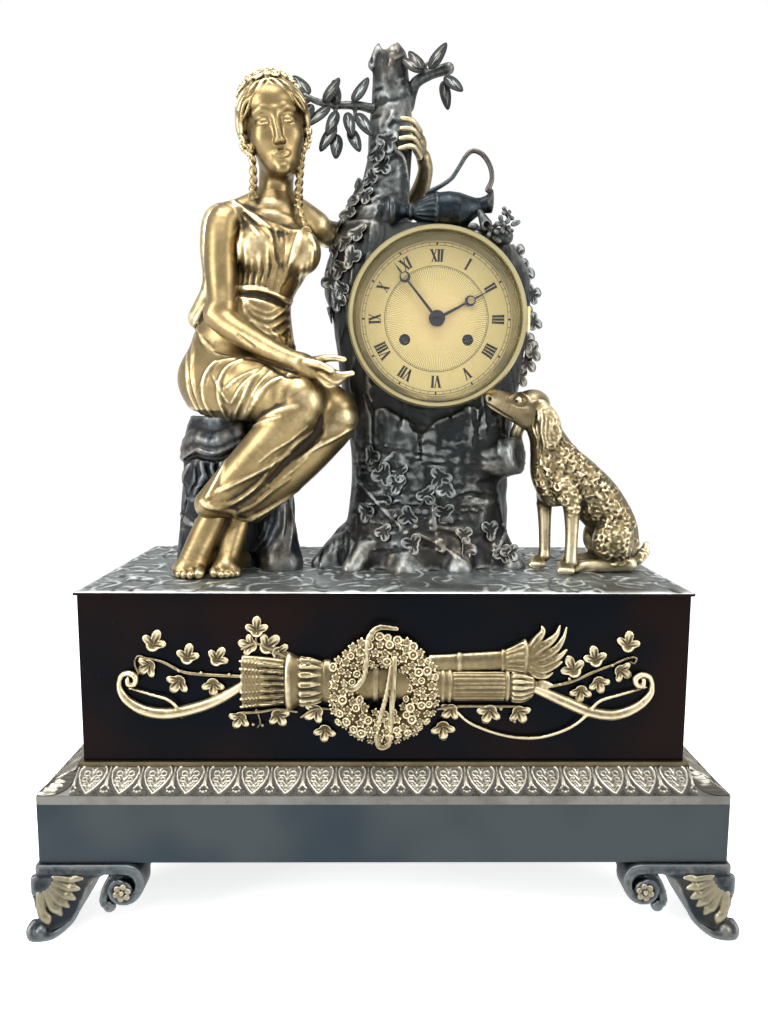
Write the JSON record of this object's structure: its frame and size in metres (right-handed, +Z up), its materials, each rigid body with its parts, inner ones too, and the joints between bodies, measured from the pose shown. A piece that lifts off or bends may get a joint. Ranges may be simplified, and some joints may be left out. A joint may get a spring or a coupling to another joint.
{
  "type": "figural mantel clock",
  "caption": "Gilt and patinated bronze mantel clock: seated maiden and dog by a hollow tree holding the clock drum, on a stepped plinth with a trophy mount and scroll feet.",
  "frame": {"origin": "on the floor under the middle of the base", "axes": "+Z up, -Y the dial side, +X to the right of someone looking at the dial"},
  "size_m": [0.4828, 0.242, 0.6411],
  "materials": {
    "plinth_bronze": "dark blue-black patinated bronze, satin",
    "silvered_gilt": "worn pale gilding over dark recesses",
    "gilt_bronze": "antique matt gilding",
    "green_bronze": "dark green-black patinated bronze, rubbed high points",
    "dial_gilt": "engine-turned gilt",
    "dark_steel": "dark blued steel",
    "glass": "clear flat glass",
    "movement_brass": "brushed brass",
    "steel": "plain steel",
    "bell_metal": "turned bell metal"
  },
  "bodies": {
    "case": {"lower_plinth": "plinth_bronze", "upper_plinth": "plinth_bronze", "foot_front_left": "plinth_bronze", "foot_front_right": "plinth_bronze", "foot_rear_left": "plinth_bronze", "foot_rear_right": "plinth_bronze", "frieze_moulding": "silvered_gilt", "plinth_fillet": "gilt_bronze", "trophy_bow": "gilt_bronze", "trophy_quiver": "gilt_bronze", "trophy_torch": "gilt_bronze", "trophy_wreath": "gilt_bronze", "trophy_ribbon": "gilt_bronze", "trophy_ivy": "gilt_bronze", "maiden_body": "gilt_bronze", "maiden_head": "gilt_bronze", "maiden_right_arm": "gilt_bronze", "maiden_left_arm": "gilt_bronze", "maiden_feet": "gilt_bronze", "dog": "gilt_bronze", "ground_plate": "green_bronze", "tree_trunk": "green_bronze", "branch_left": "green_bronze", "branch_right": "green_bronze", "ewer": "green_bronze", "flower_bunch": "green_bronze", "seat_rock": "green_bronze", "dial": "dial_gilt", "drum_case": "movement_brass", "front_plate": "movement_brass", "back_plate": "movement_brass", "plate_pillars": "movement_brass", "case_bolts": "steel", "hinge_pins": "steel", "bell_post": "steel", "bell": "bell_metal"},
    "bezel": {"bezel_frame": "gilt_bronze", "bezel_glass": "glass"},
    "rear_door": {"rear_door": "movement_brass"},
    "minute_hand": {"minute_hand": "dark_steel", "hand_nut": "dark_steel", "cannon_pinion": "steel"},
    "hour_hand": {"hour_hand": "dark_steel", "hour_wheel": "movement_brass"},
    "minute_wheel": {"minute_wheel": "movement_brass"},
    "going_barrel": {"going_barrel": "movement_brass"},
    "going_arbor": {"going_arbor": "steel"},
    "intermediate_wheel": {"intermediate_wheel": "movement_brass"},
    "centre_wheel": {"centre_wheel": "movement_brass"},
    "third_wheel": {"third_wheel": "movement_brass"},
    "escape_wheel": {"escape_wheel": "movement_brass"},
    "pendulum": {"pallet_anchor": "steel", "pendulum_rod": "steel", "pendulum_bob": "movement_brass"},
    "strike_barrel": {"strike_barrel": "movement_brass"},
    "strike_arbor": {"strike_arbor": "steel"},
    "strike_second_wheel": {"strike_second_wheel": "movement_brass"},
    "pin_wheel": {"pin_wheel": "movement_brass"},
    "fly": {"fly": "movement_brass"},
    "hammer": {"hammer": "steel"}
  },
  "joints": [
    {"name": "bezel_hinge", "type": "hinge", "parent": "case", "child": "bezel", "pos_m": [0.1056, -0.0264, 0.4278], "axis": [0, 0, 1], "range_deg": [0, 110]},
    {"name": "rear_door_hinge", "type": "hinge", "parent": "case", "child": "rear_door", "pos_m": [0.0996, 0.0795, 0.4278], "axis": [0, 0, -1], "range_deg": [0, 110]},
    {"name": "minute_hand_turn", "type": "hinge", "parent": "case", "child": "minute_hand", "pos_m": [0.038, 0, 0.4278], "axis": [0, 1, 0], "continuous": true},
    {"name": "minute_wheel_turn", "type": "hinge", "parent": "case", "child": "minute_wheel", "pos_m": [0.038, 0, 0.4158], "axis": [0, 1, 0], "continuous": true},
    {"name": "hour_hand_turn", "type": "hinge", "parent": "case", "child": "hour_hand", "pos_m": [0.038, 0, 0.4278], "axis": [0, 1, 0], "continuous": true},
    {"name": "going_winding", "type": "hinge", "parent": "case", "child": "going_arbor", "pos_m": [0.0615, 0, 0.4128], "axis": [0, 1, 0], "range_deg": [0, 1800]},
    {"name": "strike_winding", "type": "hinge", "parent": "case", "child": "strike_arbor", "pos_m": [0.0145, 0, 0.4128], "axis": [0, 1, 0], "range_deg": [0, 1800]},
    {"name": "third_wheel_turn", "type": "hinge", "parent": "case", "child": "third_wheel", "pos_m": [0.04099, 0, 0.44667], "axis": [0, 1, 0], "continuous": true},
    {"name": "escape_wheel_turn", "type": "hinge", "parent": "case", "child": "escape_wheel", "pos_m": [0.0358, 0, 0.46265], "axis": [0, 1, 0], "continuous": true},
    {"name": "centre_wheel_turn", "type": "hinge", "parent": "case", "child": "centre_wheel", "pos_m": [0.038, 0, 0.4278], "axis": [0, 1, 0], "continuous": true},
    {"name": "intermediate_wheel_turn", "type": "hinge", "parent": "case", "child": "intermediate_wheel", "pos_m": [0.0579, 0, 0.4345], "axis": [0, 1, 0], "continuous": true},
    {"name": "going_barrel_turn", "type": "hinge", "parent": "case", "child": "going_barrel", "pos_m": [0.0615, 0, 0.4128], "axis": [0, 1, 0], "continuous": true},
    {"name": "pendulum_swing", "type": "hinge", "parent": "case", "child": "pendulum", "pos_m": [0.038, 0, 0.4738], "axis": [0, 1, 0], "range_deg": [-3, 3]},
    {"name": "pin_wheel_turn", "type": "hinge", "parent": "case", "child": "pin_wheel", "pos_m": [0.0231, 0, 0.4505], "axis": [0, 1, 0], "continuous": true},
    {"name": "fly_turn", "type": "hinge", "parent": "case", "child": "fly", "pos_m": [0.01017, 0, 0.45827], "axis": [0, 1, 0], "continuous": true},
    {"name": "strike_second_wheel_turn", "type": "hinge", "parent": "case", "child": "strike_second_wheel", "pos_m": [0.01106, 0, 0.43453], "axis": [0, 1, 0], "continuous": true},
    {"name": "strike_barrel_turn", "type": "hinge", "parent": "case", "child": "strike_barrel", "pos_m": [0.0145, 0, 0.4128], "axis": [0, 1, 0], "continuous": true},
    {"name": "hammer_lift", "type": "hinge", "parent": "case", "child": "hammer", "pos_m": [-0.006, 0, 0.4458], "axis": [0, 1, 0], "range_deg": [0, 12], "stiffness_Nm_per_rad": 0.05, "springref_deg": -8.59}
  ],
  "couplings": [
    {"joint": "minute_wheel_turn", "follows": "minute_hand_turn", "ratio": -0.33333},
    {"joint": "hour_hand_turn", "follows": "minute_hand_turn", "ratio": 0.083333},
    {"joint": "escape_wheel_turn", "follows": "third_wheel_turn", "ratio": -11},
    {"joint": "centre_wheel_turn", "follows": "third_wheel_turn", "ratio": -0.083333},
    {"joint": "intermediate_wheel_turn", "follows": "third_wheel_turn", "ratio": 0.013889},
    {"joint": "going_barrel_turn", "follows": "third_wheel_turn", "ratio": -0.002193},
    {"joint": "fly_turn", "follows": "pin_wheel_turn", "ratio": -8.5714},
    {"joint": "strike_second_wheel_turn", "follows": "pin_wheel_turn", "ratio": -0.11111},
    {"joint": "strike_barrel_turn", "follows": "pin_wheel_turn", "ratio": 0.017544}
  ]
}
